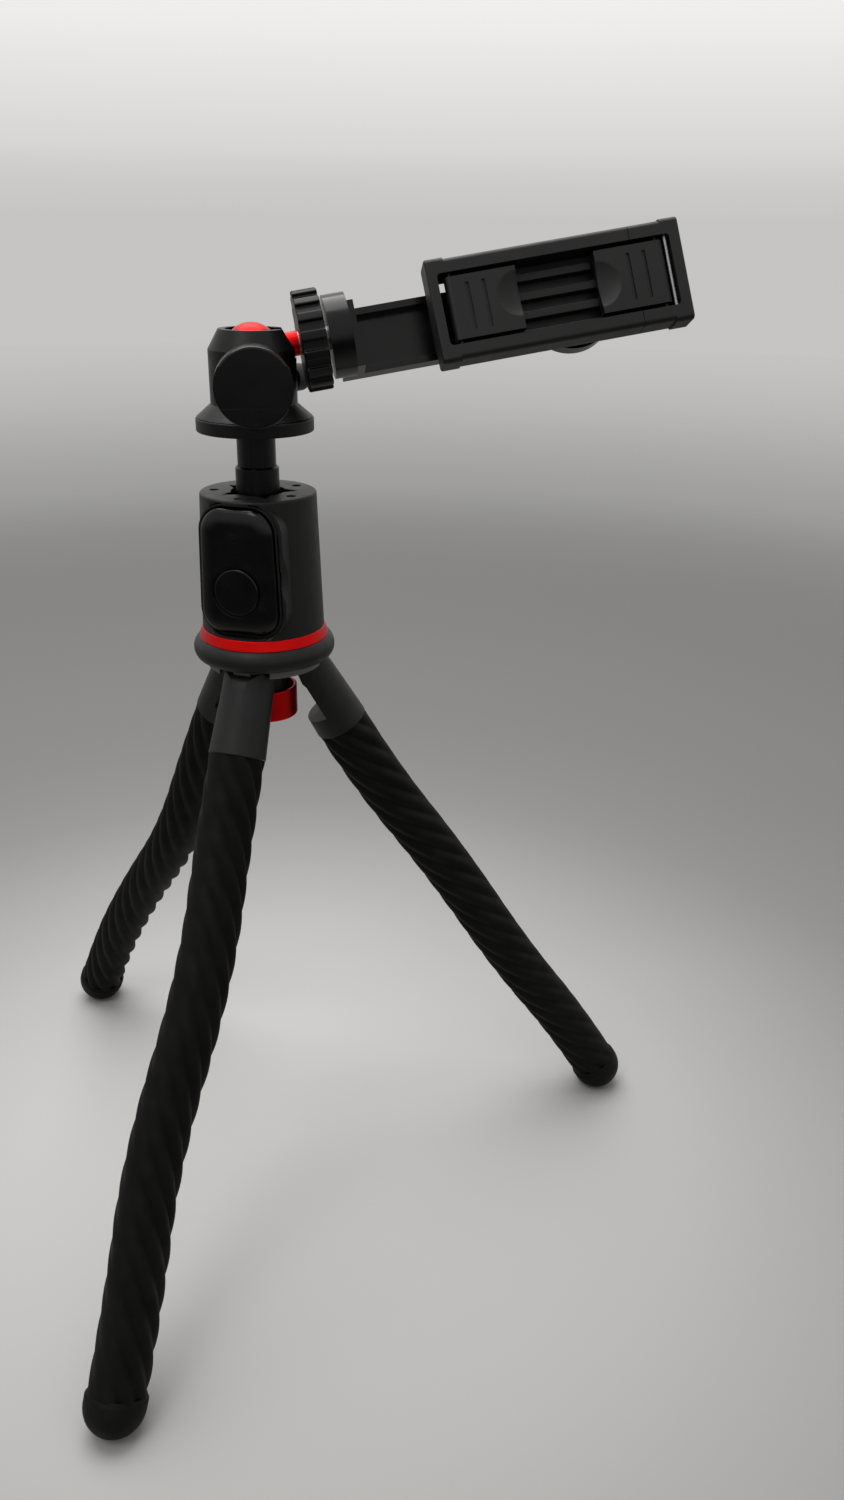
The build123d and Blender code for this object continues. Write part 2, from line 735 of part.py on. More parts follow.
with BuildPart() as lock_wheel:
    with BuildSketch(along_arm.offset(wheel_start)):
        Circle(wheel_radius)
        lobe_pitch = 2 * pi * wheel_radius / wheel_lobe_count
        with PolarLocations(wheel_radius, wheel_lobe_count):
            Rectangle(wheel_lobe_depth * 2, lobe_pitch / 2, mode=Mode.SUBTRACT)
        Circle(stud_radius + run_gap, mode=Mode.SUBTRACT)
    extrude(amount=wheel_thickness)
save(lock_wheel, "lock_wheel")

with BuildPart() as holder_arm:
    with BuildSketch(clamp_plane.offset(arm_back)):
        with Locations(((arm_start + pivot_reach) / 2, 0)):
            Rectangle(pivot_reach - arm_start, arm_half * 2)
    extrude(amount=arm_lip - arm_back)
    with BuildSketch(clamp_plane.offset(arm_back)):
        with Locations((arm_start + disc_thickness / 2, 0)):
            Rectangle(disc_thickness, arm_half * 2)
    extrude(amount=-arm_back)
    with BuildSketch(clamp_plane.offset(arm_back + arm_web)):
        inner_start = arm_start + disc_thickness
        inner_end = pivot_reach - pivot_radius
        with Locations(((inner_start + inner_end) / 2, 0)):
            Rectangle(inner_end - inner_start, (arm_half - arm_flange) * 2)
    extrude(amount=disc_radius, mode=Mode.SUBTRACT)
    with BuildSketch(along_arm.offset(disc_start - overrun)):
        Circle(disc_radius)
    extrude(amount=disc_thickness + overrun, mode=Mode.SUBTRACT)
    with BuildSketch(along_arm.offset(disc_start)):
        Circle(disc_radius)
    extrude(amount=disc_thickness)
    with BuildSketch(clamp_plane.offset(arm_back)):
        with Locations((pivot_reach, 0)):
            Circle(pivot_radius)
    extrude(amount=arm_lip - arm_back)
    with BuildSketch(along_arm.offset(disc_start)):
        Circle(stud_radius + run_gap)
    extrude(amount=stud_end + part_gap - disc_start, mode=Mode.SUBTRACT)
    with BuildSketch(clamp_plane.offset(arm_back - overrun)):
        with Locations((pivot_reach, 0)):
            Circle(pivot_bolt_radius + run_gap)
    extrude(amount=-arm_back + overrun, mode=Mode.SUBTRACT)
save(holder_arm, "holder_arm")

clamp_back = clamp_front - clamp_thickness
boss_bottom = arm_lip + seam_gap
with BuildPart() as pivot_bolt:
    with BuildSketch(clamp_plane.offset(arm_back - pivot_head_thickness - seam_gap)):
        with Locations((pivot_reach, 0)):
            Circle(pivot_head_radius)
    extrude(amount=pivot_head_thickness)
    with BuildSketch(clamp_plane.offset(arm_back - seam_gap)):
        with Locations((pivot_reach, 0)):
            Circle(pivot_bolt_radius)
    extrude(amount=clamp_back - arm_back - seam_gap)
save(pivot_bolt, "pivot_bolt")


def clamp_block(start, end, half, depth=None):
    """Rectangle on the clamp's plane, from start to end along the arm."""
    with BuildSketch(clamp_plane.offset(clamp_back if depth is None else depth)) as block:
        with Locations(((start + end) / 2, 0)):
            Rectangle(end - start, half * 2)
    return block.sketch


def clamp_bar(start, end, half):
    """Solid stretch of the clamp's frame with its long edges rounded."""
    with BuildPart() as bar:
        with BuildSketch(along_arm.offset(start)):
            with Locations(((clamp_back + clamp_front) / 2, 0)):
                RectangleRounded(clamp_thickness, half * 2, clamp_round)
        extrude(amount=end - start)
    return bar.part


def opening_outline(start, end, corner_side):
    """The frame's opening, rounded in its two corners on one side along the arm."""
    with BuildSketch(clamp_plane.offset(clamp_back - overrun)) as outline:
        with Locations(((start + end) / 2, 0)):
            edge = Rectangle(end - start, opening_half * 2)
        corners = edge.vertices().sort_by(along_arm_axis)
        fillet(corners[:2] if corner_side < 0 else corners[2:], opening_corner)
    return outline.sketch


def rail_circles(start, radius):
    """Two circles, one in each long rail, square to the arm."""
    with BuildSketch(along_arm.offset(start)) as circles:
        with Locations((rod_depth, rod_offset), (rod_depth, -rod_offset)):
            Circle(radius)
    return circles.sketch


def hinge_circle(reach, half, radius):
    """Circle on a flap's hinge axis, drawn at one end of that axis."""
    start = clamp_plane.from_local_coords((reach, -half, hinge_depth))
    with BuildSketch(Plane(origin=start, x_dir=arm_direction, z_dir=clamp_plane.y_dir)) as circle:
        Circle(radius)
    return circle.sketch


floor_bottom = clamp_back
left_hinge_reach = left_flap_start + flap_thickness / 2
right_flap_end = opening_end - bar_radius * 2 - part_gap * 2
right_hinge_reach = right_flap_end - flap_thickness / 2
hinge_depth = flap_front - flap_thickness / 2
bar_reach = opening_end - bar_radius - part_gap / 2
pin_reach = opening_half + (clamp_half - opening_half) / 2

with BuildPart() as clamp_frame:
    add(clamp_bar(clamp_start, split_reach, clamp_half))
    add(clamp_bar(clamp_start, clamp_start + cap_block_length, clamp_half + cap_block_proud))
    fillet(clamp_frame.faces().sort_by(along_arm_axis)[0].edges(), clamp_end_round)
    extrude(opening_outline(opening_start, split_reach + overrun, -1),
            amount=clamp_thickness + overrun * 2, mode=Mode.SUBTRACT)
    with BuildSketch(clamp_plane.offset(floor_bottom)):
        with Locations(((floor_start + split_reach) / 2, 0)):
            Rectangle(split_reach - floor_start, opening_half * 2)
    extrude(amount=floor_thickness)
    with BuildSketch(clamp_plane.offset(boss_bottom)):
        with Locations((pivot_reach, 0)):
            Circle(pivot_boss_radius)
    extrude(amount=clamp_back - boss_bottom)
    with BuildSketch(clamp_plane.offset(boss_bottom)):
        with Locations((pivot_reach, 0)):
            Circle(pivot_bolt_radius)
    extrude(amount=clamp_back - boss_bottom, mode=Mode.SUBTRACT)
    extrude(rail_circles(rod_start, spring_radius + run_gap), amount=split_reach - rod_start,
            mode=Mode.SUBTRACT)
    extrude(hinge_circle(left_hinge_reach, pin_reach, flap_pin_radius), amount=pin_reach * 2,
            mode=Mode.SUBTRACT)
save(clamp_frame, "clamp_frame")

with BuildPart() as guide_rails:
    with BuildSketch(clamp_plane.offset(floor_bottom + floor_thickness)):
        for k in range(rail_count):
            rail_end = split_reach - (cap_block_length * 2 if k == 0 else 0)
            with Locations(((rail_start + rail_end) / 2, rail_first - k * rail_pitch)):
                Rectangle(rail_end - rail_start, rail_height)
    extrude(amount=rail_front - floor_bottom - floor_thickness)
    extrude(clamp_block(opening_start, split_reach, opening_half), amount=clamp_thickness,
            mode=Mode.INTERSECT)
save(guide_rails, "guide_rails")

with BuildPart() as return_springs:
    with BuildSketch(along_arm.offset(split_reach - spring_length - part_gap)):
        with Locations((rod_depth, rod_offset), (rod_depth, -rod_offset)):
            Circle(spring_radius)
            Circle(spring_radius - spring_wall, mode=Mode.SUBTRACT)
    extrude(amount=spring_length)
save(return_springs, "return_springs")

with BuildPart() as clamp_slider:
    add(clamp_bar(split_reach + seam_gap, clamp_end, clamp_half))
    add(clamp_bar(clamp_end - cap_block_length, clamp_end, clamp_half + cap_block_proud))
    fillet(clamp_slider.faces().sort_by(along_arm_axis)[-1].edges(), clamp_end_round)
    extrude(opening_outline(split_reach - overrun, opening_end, 1),
            amount=clamp_thickness + overrun * 2, mode=Mode.SUBTRACT)
    with BuildSketch(clamp_plane.offset(floor_bottom)):
        with Locations(((split_reach + seam_gap + opening_end) / 2, 0)):
            Rectangle(opening_end - split_reach - seam_gap, opening_half * 2)
    extrude(amount=floor_thickness)
    extrude(rail_circles(split_reach, rod_radius), amount=opening_end - split_reach,
            mode=Mode.SUBTRACT)
    extrude(hinge_circle(right_hinge_reach, pin_reach, flap_pin_radius), amount=pin_reach * 2,
            mode=Mode.SUBTRACT)
    extrude(hinge_circle(bar_reach, pin_reach, bar_radius), amount=pin_reach * 2,
            mode=Mode.SUBTRACT)
save(clamp_slider, "clamp_slider")

with BuildPart() as slider_rods:
    extrude(rail_circles(rod_start + overrun, rod_radius), amount=opening_end - rod_start - overrun)
save(slider_rods, "slider_rods")

with BuildPart() as slider_bar:
    extrude(hinge_circle(bar_reach, pin_reach, bar_radius), amount=pin_reach * 2)
save(slider_bar, "slider_bar")

# Flaps. Each scoop is cut by a ball that leaves a circle of the scoop's radius on the face.
scoop_ball = (flap_scoop_radius ** 2 + flap_scoop_depth ** 2) / flap_scoop_depth / 2


def flap(name, hinge, free_end, scoop_across):
    """A spring-free gripping flap, rounded round its hinge, with a scoop at its free end."""
    inward = 1 if free_end > hinge else -1
    with BuildPart() as leaf:
        extrude(clamp_block(min(hinge, free_end), max(hinge, free_end), flap_half,
                            flap_front - flap_thickness), amount=flap_thickness)
        extrude(hinge_circle(hinge, flap_half, flap_thickness / 2), amount=flap_half * 2)
        with Locations(clamp_plane.offset(flap_front - flap_scoop_depth + scoop_ball)):
            with Locations((free_end, scoop_across)):
                Sphere(scoop_ball, mode=Mode.SUBTRACT)
        with BuildSketch(clamp_plane.offset(flap_front - flap_slot_depth)):
            for offset in flap_slot_offsets:
                with Locations((hinge + inward * (offset - flap_thickness / 2), 0)):
                    Rectangle(flap_slot_width, flap_slot_length)
        extrude(amount=flap_slot_depth + overrun, mode=Mode.SUBTRACT)
        extrude(hinge_circle(hinge, flap_half, flap_pin_radius + run_gap), amount=flap_half * 2,
                mode=Mode.SUBTRACT)
    save(leaf, name)


def flap_pin(name, hinge):
    with BuildPart() as pin:
        extrude(hinge_circle(hinge, pin_reach, flap_pin_radius), amount=pin_reach * 2)
    save(pin, name)


flap("left_flap", left_hinge_reach, left_flap_start + flap_length, left_scoop_across)
flap("right_flap", right_hinge_reach, right_flap_end - flap_length, right_scoop_across)
flap_pin("left_flap_pin", left_hinge_reach)
flap_pin("right_flap_pin", right_hinge_reach)

# Legs


def arc_radii(points):
    """The largest even arc for each corner of a route."""
    radii = []
    for before, corner, after in zip(points, points[1:], points[2:]):
        first, second = corner - before, after - corner
        turn = radians(first.get_angle(second))
        radii.append(arc_share * min(first.length, second.length) / tan(turn / 2))
    return radii


def leg_points(azimuth, shares):
    """Route of a leg's centre line, from the socket's end to the foot's centre."""
    out, side, up = direction(azimuth), direction(azimuth + 90), Vector(0, 0, 1)
    down_leg = out * sin(radians(leg_splay_angle)) - up * cos(radians(leg_splay_angle))
    start = out * hinge_reach + up * hinge_height + down_leg * socket_length
    end = out * foot_reach + up * (foot_radius - foot_sink)
    span = (end - start).length
    chord = (end - start).normalized()
    lift = side.cross(chord)
    lift = lift if lift.dot(out) > 0 else -lift
    points = [start, start + down_leg * span * first_run_share]
    for along, bow, sway in shares:
        points.append(start + (chord * along + lift * bow + side * sway) * span)
    return points + [end]


def leg_path(points):
    with BuildLine() as path:
        FilletPolyline(*points, radius=arc_radii(points))
    return path.wires()[0]


def make_leg(name, azimuth, shares):
    out, side = direction(azimuth), direction(azimuth + 90)
    up = Vector(0, 0, 1)
    down_leg = out * sin(radians(leg_splay_angle)) - up * cos(radians(leg_splay_angle))
    pivot = out * hinge_reach + up * hinge_height
    socket_out = out * cos(radians(leg_splay_angle)) + up * sin(radians(leg_splay_angle))
    points = leg_points(azimuth, shares)
    knee = points[2] + (points[3] - points[2]) * knee_share
    upper_path = leg_path(points[:3] + [knee])
    lower_path = leg_path([knee] + points[3:])
    print(name, "leg radii", [round(r) for r in arc_radii(points[:3] + [knee])],
          [round(r) for r in arc_radii([knee] + points[3:])],
          "length", round(upper_path.length + lower_path.length, 1))
    socket_plane = Plane(origin=pivot, x_dir=socket_out, z_dir=down_leg)
    leg_section = section_plane(azimuth)
    socket_end = socket_plane.offset(socket_length)

    with BuildPart() as socket:
        with BuildSketch(leg_section):
            with Locations((hinge_reach, hinge_height)):
                Circle(socket_top_radius)
        extrude(amount=socket_top_radius, both=True)
        with BuildSketch(socket_plane.offset(-socket_top_radius)):
            Circle(socket_top_radius)
        extrude(amount=socket_top_radius * 2, mode=Mode.INTERSECT)
        with Locations(socket_plane):
            Cone(socket_top_radius, socket_radius, socket_length,
                 align=(Align.CENTER, Align.CENTER, Align.MIN))
        fillet(socket.edges().filter_by(GeomType.CIRCLE).sort_by(
            Axis(origin=pivot, direction=down_leg))[-1], soft_edge)
        flat_length = socket_top_radius + socket_length - collar_length
        with BuildSketch(socket_plane.offset(-socket_top_radius)):
            with Locations((-socket_flat - socket_radius, 0)):
                Rectangle(socket_radius * 2, socket_radius * 2 + overrun)
        extrude(amount=flat_length, mode=Mode.SUBTRACT)
        with BuildSketch(leg_section):
            with Locations((hinge_reach, hinge_height)):
                Circle(tongue_end_radius + part_gap)
                neck_half, top = tongue_neck / 2 + part_gap, socket_radius + overrun
                lean = radians(leg_splay_angle)
                Polygon((neck_half, 0), (neck_half, top),
                        (-neck_half * cos(lean) - top * sin(lean),
                         top * cos(lean) - neck_half * sin(lean)),
                        (-neck_half * cos(lean), -neck_half * sin(lean)), align=None)
        extrude(amount=tongue_width / 2 + part_gap / 2, both=True, mode=Mode.SUBTRACT)
        with BuildSketch(leg_section):
            with Locations((hinge_reach, hinge_height)):
                Circle(hinge_pin_radius + run_gap)
        extrude(amount=pin_half + part_gap, both=True, mode=Mode.SUBTRACT)
        with BuildSketch(socket_end):
            Circle(core_radius)
        extrude(amount=-core_insert, mode=Mode.SUBTRACT)
    save(socket, f"{name}_leg_socket")

    with BuildPart() as skin_upper:
        with BuildSketch(Plane(origin=points[0], z_dir=upper_path % 0)):
            Circle(skin_radius)
        sweep(path=upper_path)
        with Locations(knee):
            Sphere(skin_radius)
        with BuildSketch(Plane(origin=points[0], z_dir=upper_path % 0)):
            Circle(core_radius)
        sweep(path=upper_path, mode=Mode.SUBTRACT)
    save(skin_upper, f"{name}_leg_skin_upper")

    with BuildPart() as core_upper:
        with BuildSketch(Plane(origin=points[0], z_dir=upper_path % 0)):
            Circle(core_radius)
        sweep(path=upper_path)
        with BuildSketch(socket_end):
            Circle(core_radius)
        extrude(amount=-core_insert)
    save(core_upper, f"{name}_leg_core_upper")

    with BuildPart() as skin_lower:
        with BuildSketch(Plane(origin=knee, z_dir=lower_path % 0)):
            Circle(skin_radius)
        sweep(path=lower_path)
        with Locations(knee):
            Sphere(skin_radius + knuckle_gap, mode=Mode.SUBTRACT)
        with BuildSketch(Plane(origin=knee, z_dir=lower_path % 0)):
            Circle(core_radius)
        sweep(path=lower_path, mode=Mode.SUBTRACT)
    save(skin_lower, f"{name}_leg_skin_lower")

    with BuildPart() as core_lower:
        with BuildSketch(Plane(origin=knee, z_dir=lower_path % 0)):
            Circle(core_radius)
        sweep(path=lower_path)
        with Locations(knee):
            Sphere(skin_radius + knuckle_gap, mode=Mode.SUBTRACT)
    save(core_lower, f"{name}_leg_core_lower")

    foot_plane = Plane(origin=points[-1], z_dir=-(lower_path % 1))
    with BuildPart() as foot:
        with BuildSketch(foot_plane):
            Circle(foot_radius)
        extrude(amount=foot_rim)
        with Locations(points[-1]):
            Sphere(foot_radius)
        with BuildSketch(foot_plane):
            Circle(skin_radius)
        extrude(amount=foot_rim + foot_radius, mode=Mode.SUBTRACT)
        split(bisect_by=Plane.XY, keep=Keep.TOP)
    save(foot, f"{name}_foot_cap")


for leg_name, leg_azimuth in leg_azimuths.items():
    make_leg(leg_name, leg_azimuth, leg_route_shares[leg_name])
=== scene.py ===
import json
from math import atan2, cos, pi, radians, sin, sqrt
import bmesh
import bpy
from mathutils import Matrix, Vector


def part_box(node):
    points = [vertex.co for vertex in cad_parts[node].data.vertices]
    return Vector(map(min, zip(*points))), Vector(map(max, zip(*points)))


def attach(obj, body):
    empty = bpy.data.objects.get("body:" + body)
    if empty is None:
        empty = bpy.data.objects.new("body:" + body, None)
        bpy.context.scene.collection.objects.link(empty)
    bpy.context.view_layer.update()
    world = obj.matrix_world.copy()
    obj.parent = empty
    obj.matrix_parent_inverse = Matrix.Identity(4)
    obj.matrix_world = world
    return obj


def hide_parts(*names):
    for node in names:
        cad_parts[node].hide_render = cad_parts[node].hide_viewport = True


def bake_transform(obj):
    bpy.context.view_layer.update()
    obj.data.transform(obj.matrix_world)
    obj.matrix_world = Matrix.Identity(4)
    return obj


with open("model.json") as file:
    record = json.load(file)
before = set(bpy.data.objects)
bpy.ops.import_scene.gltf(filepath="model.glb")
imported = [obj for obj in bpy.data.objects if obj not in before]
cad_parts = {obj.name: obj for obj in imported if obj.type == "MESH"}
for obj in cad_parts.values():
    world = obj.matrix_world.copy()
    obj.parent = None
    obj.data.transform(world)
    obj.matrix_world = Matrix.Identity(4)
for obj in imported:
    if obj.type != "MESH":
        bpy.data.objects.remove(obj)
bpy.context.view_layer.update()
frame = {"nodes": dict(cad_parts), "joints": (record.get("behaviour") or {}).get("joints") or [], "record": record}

# The flexible leg tripod's looks, in metres, round its fixed frame.

mm = 0.001
record = frame["record"]
body_of = {node: body for body, nodes in record["behaviour"]["bodies"].items() for node in nodes}
slot_of = {part["node"]: part["material_slot"] for part in record["subparts"]}
joint_of = {entry["name"]: entry for entry in frame["joints"]}

# Mesh work
merge_distance = 0.001 * mm
flat_angle = radians(0.4)
sharp_angle = radians(28)
crease_angle = radians(40)
round_steps = 96

# Remote and its bay
remote_azimuth = -106.2
remote_low_width = 22.4 * mm
remote_top_width = 20.2 * mm
remote_height = 34.2 * mm
remote_corner = 6.5 * mm
corner_steps = 14
pillow_reach = 4.2 * mm
pillow_drop = 2.0 * mm
pillow_steps = 16
button_ring_radius = 7.2 * mm
button_ring_depth = 0.55 * mm
button_well_over = 4.0 * mm
button_hole_radius = 6.4 * mm
button_hole_depth = 3.0 * mm
remote_wall = 1.1 * mm
mark_height = 211.0 * mm
mark_radii = (1.1 * mm, 2.0 * mm)
mark_line = 0.22 * mm
mark_lift = 0.05 * mm
mark_dot_share = 1.4        # of the line's width
mark_steps = 16
mark_dot_steps = 24
bay_rim_reach = 14.4 * mm
seam_reach = 1.15 * mm      # outer side of the dark seam, beyond the remote's outline
seam_width = 0.3 * mm
seam_depth = 0.9 * mm

# Hub
plate_underside = 173.0 * mm
plate_fade = 0.2 * mm

# Legs
leg_names = ("front", "right", "rear")
leg_azimuths = {"front": -106.2, "right": 14.9, "rear": 136.6}
leg_splay = 29.0
socket_length = 18.0 * mm
foot_reach = 114.0 * mm
foot_radius = 8.3 * mm
foot_sink = 0.35 * mm
first_run_share = 0.13
leg_route_shares = {
    "front": ((0.36, -0.004, 0.015), (0.64, 0.002, -0.015), (0.86, 0.004, 0.001)),
    "right": ((0.36, 0.001, 0.004), (0.63, -0.006, -0.005), (0.86, 0.005, 0.004)),
    "rear": ((0.35, -0.033, 0.004), (0.61, 0.003, -0.004), (0.83, 0.009, 0.004)),
}
strand_count = 8
strand_lead = 77.0 * mm
ridge_radius = 7.85 * mm
groove_depths = {"front": 1.2 * mm, "right": 1.05 * mm, "rear": 1.1 * mm}
smooth_turns = {"front": 25, "right": 0, "rear": 0}    # of the smooth side, round the leg
groove_softness = 0.02
outer_share = 0.08        # of the groove's depth on the leg's outer side
fade_span = 0.4           # how far round the leg the grooves grow to their full depth
sides_per_strand = 14
ring_step = 1.0 * mm

# Patterns in the finishes: how large their features are, and how deep they are pressed
flow_size = 14 * mm
gloss_size = 3 * mm
plate_flow_size = 9 * mm
plate_grain_size = 0.4 * mm
haze_size = 5 * mm
ripple_size = 9 * mm
bloom_size = 6 * mm
pore_size = 0.28 * mm
speck_size = 0.7 * mm
speck_share = 0.35
turning_size = 3 * mm
turning_depth = 0.01 * mm
dye_size = 9 * mm
streak_size = 1.5 * mm
streak_depth = 0.008 * mm
drawing_size = 1.2 * mm
drawing_depth = 0.006 * mm
enamel_size = 8 * mm
surface_depth = 0.02 * mm

# Floor and backdrop: tones at shares of a distance or of the way up; the floor's tones are painted shade and
# painted glow, standing in for light that falls off
floor_radius = 3.0
near_floor = 0.8
fade_start = 0.45         # the lit sheet gives way to the far floor's painted glow
fade_end = 1.1
front_start = 0.2         # painted shade: the sheet is darker on the camera's side, standing in for a dark room there
front_end = 0.45
front_painted_shade = 0.45
# painted shade: the sheet's colour darkens away from the tripod, standing in for light falling off
near_painted_shade_tones = ((0.0, 0.50), (0.01, 0.50), (0.10, 0.47), (0.20, 0.36), (0.33, 0.20), (0.55, 0.18),
              (0.99, 0.20), (1.0, 0.20))
# painted glow: the far floor glows for rays that see it, darker near the tripod where light falls off, rising to
# the backdrop's tone
far_painted_glow_tones = ((0.0, 0.19), (0.20, 0.20), (0.34, 0.31), (0.62, 0.50), (0.98, 0.56), (1.0, 0.56))
backdrop_tones = ((0.0, 0.56), (0.01, 0.56), (0.05, 0.64), (0.15, 0.92), (1.0, 0.95))
light_tones = ((0.0, 0.06), (0.3, 0.20), (0.99, 0.92), (1.0, 0.92))

# Camera, from the photograph's vanishing lines and the tripod's size
photo_height = 1500
focal_pixels = 1182
sensor_width = 36.0
camera_place = Vector((45.2 * mm, -319.9 * mm, 287.5 * mm))
camera_pitch = 23.95
camera_roll = 0.78
camera_clip = 1 * mm

# Lamps: place, aim, size and power
softboxes = {
    "overhead_softbox": ((-0.1, 0.25, 1.1), (0, 0, 0.1), 1.0, 11.0),
    "front_softbox": ((-0.35, -0.55, 1.1), (0, 0, 0.2), 0.45, 2.2),
}


# Finishes

def new_finish(name):
    finish = bpy.data.materials.new(name)
    finish.use_nodes = True
    nodes, links = finish.node_tree.nodes, finish.node_tree.links
    place = nodes.new("ShaderNodeTexCoord").outputs["Object"]
    return finish, nodes, links, nodes["Principled BSDF"], place


def noise(nodes, links, place, feature, detail=3.0, stretch=(1, 1, 1)):
    """Noise whose features are about that size, in metres, stretched along an axis where asked."""
    mapping = nodes.new("ShaderNodeMapping")
    mapping.inputs["Scale"].default_value = stretch
    links.new(place, mapping.inputs["Vector"])
    texture = nodes.new("ShaderNodeTexNoise")
    texture.inputs["Scale"].default_value = 1 / feature
    texture.inputs["Detail"].default_value = detail
    links.new(mapping.outputs["Vector"], texture.inputs["Vector"])
    return texture.outputs["Fac"]


def span(nodes, links, value, low, high, start=0.3, end=0.7):
    """The value's middle range, stretched to run from low to high."""
    band = nodes.new("ShaderNodeMapRange")
    band.inputs["From Min"].default_value = start
    band.inputs["From Max"].default_value = end
    band.inputs["To Min"].default_value = low
    band.inputs["To Max"].default_value = high
    links.new(value, band.inputs["Value"])
    return band.outputs["Result"]


def shade(nodes, links, value, dark, light):
    """A colour between dark and light, by value."""
    ramp = nodes.new("ShaderNodeValToRGB")
    ramp.color_ramp.elements[0].position = 0.3
    ramp.color_ramp.elements[1].position = 0.7
    ramp.color_ramp.elements[0].color = (*dark, 1)
    ramp.color_ramp.elements[1].color = (*light, 1)
    links.new(value, ramp.inputs["Fac"])
    return ramp.outputs["Color"]


def relief(nodes, links, shader, height, depth, strength=1.0):
    bump = nodes.new("ShaderNodeBump")
    bump.inputs["Strength"].default_value = strength
    bump.inputs["Distance"].default_value = depth
    links.new(height, bump.inputs["Height"])
    links.new(bump.outputs["Normal"], shader.inputs["Normal"])


def moulding(name, dark, light, rough, rough_spread, grain, grain_depth, specular=0.5):
    """Moulded plastic: a fine spark-eroded grain, faint flow mottling and uneven gloss."""
    finish, nodes, links, shader, place = new_finish(name)
    flow = noise(nodes, links, place, flow_size, detail=4)
    pits = noise(nodes, links, place, grain, detail=2)
    gloss = noise(nodes, links, place, gloss_size, detail=5)
    links.new(shade(nodes, links, flow, dark, light), shader.inputs["Base Color"])
    links.new(span(nodes, links, gloss, rough - rough_spread, rough + rough_spread),
              shader.inputs["Roughness"])
    shader.inputs["Specular IOR Level"].default_value = specular
    relief(nodes, links, shader, pits, grain_depth)
    return finish


def plate_moulding(name):
    """The hub plate: its round edge is pale grey, its neck and hinge tongues are blackened."""
    pale, black = (0.16, 0.16, 0.155), (0.006, 0.006, 0.006)
    finish, nodes, links, shader, place = new_finish(name)
    parts = nodes.new("ShaderNodeSeparateXYZ")
    links.new(place, parts.inputs["Vector"])
    band = span(nodes, links, parts.outputs["Z"], 0, 1,
                plate_underside - plate_fade, plate_underside)
    flow = noise(nodes, links, place, plate_flow_size, detail=4)
    mixed = nodes.new("ShaderNodeMath")
    mixed.operation = "MULTIPLY_ADD"
    mixed.inputs[1].default_value = 0.06
    links.new(flow, mixed.inputs[0])
    links.new(band, mixed.inputs[2])
    links.new(shade(nodes, links, mixed.outputs["Value"], black, pale), shader.inputs["Base Color"])
    shader.inputs["Roughness"].default_value = 0.5
    shader.inputs["Specular IOR Level"].default_value = 0.3
    relief(nodes, links, shader, noise(nodes, links, place, plate_grain_size, detail=2), surface_depth)
    return finish


def polished(name, dark, light, rough):
    """Polished plastic with a clear skin and faint handling haze."""
    finish, nodes, links, shader, place = new_finish(name)
    haze = noise(nodes, links, place, haze_size, detail=6)
    ripple = noise(nodes, links, place, ripple_size, detail=1)
    links.new(shade(nodes, links, haze, dark, light), shader.inputs["Base Color"])
    links.new(span(nodes, links, haze, rough * 0.8, rough * 1.3), shader.inputs["Roughness"])
    shader.inputs["Specular IOR Level"].default_value = 0.24
    relief(nodes, links, shader, ripple, surface_depth)
    return finish


def rubber(name, dark, light, rough, grain_depth):
    """Matte rubber with a dry bloom, fine pores and a soft sheen."""
    finish, nodes, links, shader, place = new_finish(name)
    bloom = noise(nodes, links, place, bloom_size, detail=7)
    pores = noise(nodes, links, place, pore_size, detail=3)
    specks = noise(nodes, links, place, speck_size, detail=2)
    mixed = nodes.new("ShaderNodeMath")
    mixed.operation = "MULTIPLY_ADD"
    mixed.inputs[1].default_value = speck_share
    links.new(specks, mixed.inputs[0])
    links.new(span(nodes, links, bloom, 0, 0.65, 0.2, 0.8), mixed.inputs[2])
    links.new(shade(nodes, links, mixed.outputs["Value"], dark, light), shader.inputs["Base Color"])
    links.new(span(nodes, links, bloom, rough + 0.06, rough - 0.08), shader.inputs["Roughness"])
    shader.inputs["Specular IOR Level"].default_value = 0.1
    shader.inputs["Sheen Weight"].default_value = 0.005
    shader.inputs["Sheen Roughness"].default_value = 0.5
    relief(nodes, links, shader, pores, grain_depth)
    return finish


def anodised(name, dark, light, rough):
    """Dyed anodised aluminium: fine turning marks round the upright axis and a satin glow."""
    finish, nodes, links, shader, place = new_finish(name)
    turning = noise(nodes, links, place, turning_size, detail=3, stretch=(1, 1, 24))
    tone = noise(nodes, links, place, dye_size, detail=3)
    links.new(shade(nodes, links, tone, dark, light), shader.inputs["Base Color"])
    links.new(span(nodes, links, turning, rough - 0.06, rough + 0.08), shader.inputs["Roughness"])
    shader.inputs["Metallic"].default_value = 0.9
    relief(nodes, links, shader, turning, turning_depth)
    return finish


def metal(name, dark, light, rough, stretch):
    """Bright drawn or turned metal with streaks along its working direction."""
    finish, nodes, links, shader, place = new_finish(name)
    streaks = noise(nodes, links, place, streak_size, detail=4, stretch=stretch)
    links.new(shade(nodes, links, streaks, dark, light), shader.inputs["Base Color"])
    links.new(span(nodes, links, streaks, rough - 0.08, rough + 0.1), shader.inputs["Roughness"])
    shader.inputs["Metallic"].default_value = 1.0
    relief(nodes, links, shader, streaks, streak_depth)
    return finish


def paint(name, dark, light, rough):
    """Satin enamel on drawn tube, with faint drawing lines along the pole."""
    finish, nodes, links, shader, place = new_finish(name)
    lines = noise(nodes, links, place, drawing_size, detail=3, stretch=(1, 1, 0.06))
    tone = noise(nodes, links, place, enamel_size, detail=3)
    links.new(shade(nodes, links, tone, dark, light), shader.inputs["Base Color"])
    links.new(span(nodes, links, lines, rough - 0.05, rough + 0.08), shader.inputs["Roughness"])
    shader.inputs["Specular IOR Level"].default_value = 0.22
    relief(nodes, links, shader, lines, drawing_depth)
    return finish


